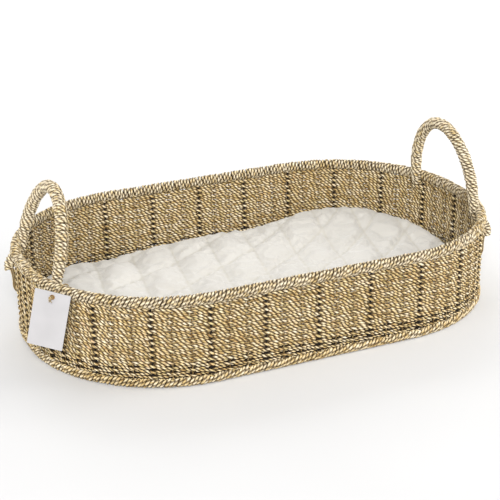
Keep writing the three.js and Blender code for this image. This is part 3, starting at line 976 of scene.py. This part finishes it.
def swell(piece):
    """Blows the cover up between its sewn seams and keeps its underside flat."""
    before = vertex_places(piece)
    x, y, _ = before.T
    above = on_top(before)
    seam = np.minimum(*seam_distances(x, y))
    held = np.where(above > 0.001, np.clip(1.5 - seam / 0.0045, 0, 1), 1.0)
    at_edge = (above > -0.004) & (inward_of_edge(x, y) < 0.012)
    held = np.where(at_edge, np.maximum(held * 0.6, 0.25), held)
    group = piece.vertex_groups.new(name="sewn")
    for index, weight in enumerate(held):
        if weight > 0:
            group.add([index], float(weight), "REPLACE")
    cloth = piece.modifiers.new("cloth", "CLOTH")
    settings = cloth.settings
    settings.quality = 6
    settings.mass = 0.25
    settings.tension_stiffness = settings.compression_stiffness = 12
    settings.bending_stiffness = 0.35
    settings.use_pressure = True
    settings.uniform_pressure_force = 5.5
    settings.shrink_min = -0.08
    settings.vertex_group_mass = "sewn"
    settings.pin_stiffness = 6
    settings.effector_weights.gravity = 0
    cloth.collision_settings.use_collision = False
    for frame_number in range(1, SWELL_FRAMES + 1):
        SCENE.frame_set(frame_number)
    keep_evaluated(piece)
    SCENE.frame_set(1)
    after = vertex_places(piece)
    moved = after - before
    length = np.maximum(np.linalg.norm(moved, axis=1, keepdims=True), 1e-9)
    moved *= np.minimum(length, SWELL_LIMIT * np.tanh(length / SWELL_LIMIT)) / length
    after = before + moved
    after[:, 2] = np.maximum(after[:, 2], PAD_LOW)
    set_places(piece, after)


def ripples(along, line, seed):
    """A smooth random wave along a seam, different for each seam of its family."""
    values = np.random.default_rng(seed).uniform(-1, 1, 4096)
    at = along / PUCKER_PITCH + line * 137.0 + 1000
    low = np.floor(at)
    part = at - low
    part = part * part * (3 - 2 * part)
    index = low.astype(int) % 4095
    return values[index] * (1 - part) + values[index + 1] * part


def gather(places):
    """Puckers the cover on both sides of each seam."""
    x, y, _ = places.T
    first, second = seam_distances(x, y)
    rising = (y - (SEAM_RISE[0] * x + SEAM_RISE[1] * x ** 2) - SEAM_FIRST) / SEAM_STEP
    cross = (x - CROSS_LEAN * y - CROSS_FIRST) / CROSS_STEP
    lift = ripples(x + 0.5 * y, np.round(rising), 51) * np.exp(-(first / PUCKER_REACH) ** 2)
    lift += ripples(y, np.round(cross), 52) * np.exp(-(second / PUCKER_REACH) ** 2)
    places[:, 2] += PUCKER * lift * np.clip(on_top(places) / 0.008, 0, 1)


def add_pad():
    piece = pad_blank()
    applied(piece, "REMESH", mode="VOXEL", voxel_size=PAD_VOXEL)
    swell(piece)
    applied(piece, "SUBSURF", levels=1)
    places = vertex_places(piece)
    gather(places)
    set_places(piece, places)
    seam = np.exp(-(np.minimum(*seam_distances(places[:, 0], places[:, 1])) / 0.0020) ** 2)
    add_attribute(piece, "seam", "FLOAT", seam * np.clip(on_top(places) / 0.004, 0, 1))
    for polygon in piece.data.polygons:
        polygon.use_smooth = True
    place(piece, quilt_cotton(), "pad", "cotton", "pad_cover_bottom", "pad_core", "pad_cover_top")


# ---- tag's tie -----------------------------------------------------------------------------

TWINE_R = 0.0009
LOOP_CLEAR = 0.0012           # from the rim roll's wraps to the middle of the twine
LOOP_SPLIT = 0.0012           # how far the loop's two strands lie apart
KNOT_AT = 0.0042              # from the eyelet's middle out to the knot
KNOT_R = 0.0017
TIE_STEP = 0.00035            # from one point of the twine's path to the next


def tag_frame():
    """The rim roll's middle beside the tag, and the directions outwards and along the rim there."""
    centre = Vector((-END_X, -END_Y, TAG_PIVOT.z))
    out = (TAG_PIVOT - centre).normalized()
    roll = Vector((centre.x, centre.y, RIM_TOP - ROLL_HALF_HEIGHT)) + out * RIM_RADIUS
    return roll, out, Vector((0, 0, 1)).cross(out)


def add_tie():
    """Twine that goes round the rim roll and through the eyelet, and is knotted in front of the card."""
    roll, out, along = tag_frame()
    reach = (TAG_PIVOT - roll).dot(out)
    rise = TAG_PIVOT.z - roll.z
    wide, high = ROLL_HALF_WIDTH + LOOP_CLEAR, ROLL_HALF_HEIGHT + LOOP_CLEAR
    rng = np.random.default_rng(90)

    def spot(outward, up, sideways=0.0):
        return np.array(roll + out * outward + along * sideways) + UP * up

    def lay(strands, points, tone, radius=TWINE_R):
        path = smooth_path(points, TIE_STEP)
        facing = np.broadcast_to(np.array(along), path.shape)
        strands.tube(path, facing, radius, radius, tone, rng, 0.0, 8, ply_depth=0.35, twist=0.0032,
                     contact_shade=0.2)

    strands = Strands("tag_twine")
    for sideways, first, last in ((LOOP_SPLIT, 40, 180), (-LOOP_SPLIT, -40, -180)):
        arc = [spot(wide * math.cos(math.radians(turn)), high * math.sin(math.radians(turn)), sideways)
               for turn in np.linspace(first, last, 9)]
        start = [spot(reach + KNOT_AT, rise, sideways * 0.3), spot(reach, rise, sideways * 0.3),
                 spot(reach - 0.005, rise + 0.0004, sideways * 0.8)]
        lay(strands, start + arc, 0.55)
    knot = np.linspace(0, 2 * math.pi, 13)
    for tilt, size in ((0.5, 1.0), (-0.6, 0.9), (1.5, 0.8)):
        turn = [spot(reach + KNOT_AT + KNOT_R * size * math.cos(a) * math.cos(tilt),
                     rise + KNOT_R * size * math.sin(a),
                     KNOT_R * size * math.cos(a) * math.sin(tilt)) for a in knot]
        lay(strands, turn, 0.6)
    for sideways in (0.0022, -0.0018):
        tail = [spot(reach + KNOT_AT, rise),
                spot(reach + KNOT_AT + 0.0012, rise - 0.002, sideways * 0.6),
                spot(reach + KNOT_AT + 0.0006, rise - 0.0062, sideways)]
        lay(strands, tail, 0.6, TWINE_R * 0.9)
    piece = strands.build(seagrass("twine", 1.0), None, "twine", "tag_tie")
    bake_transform(piece)


# ---- kept CAD pieces -----------------------------------------------------------------------


def restyle_frame():
    """The iron wires and the tag's card and eyelet keep their shapes and get their own finish."""
    for name, node in NODES.items():
        if name.endswith(("_wire", "_core")) or "_wire_" in name:
            if name == "pad_core":
                continue
            for slot in node.material_slots:
                slot.material = IRON
    for slot in NODES["tag_card"].material_slots:
        slot.material = tag_card()
    for slot in NODES["tag_eyelet"].material_slots:
        slot.material = eyelet_brass()


add_camera()
add_studio()
restyle_frame()
add_wall()
add_wall_core()
add_floor_weave()
add_rolls()
add_handles()
add_pad()
add_tie()
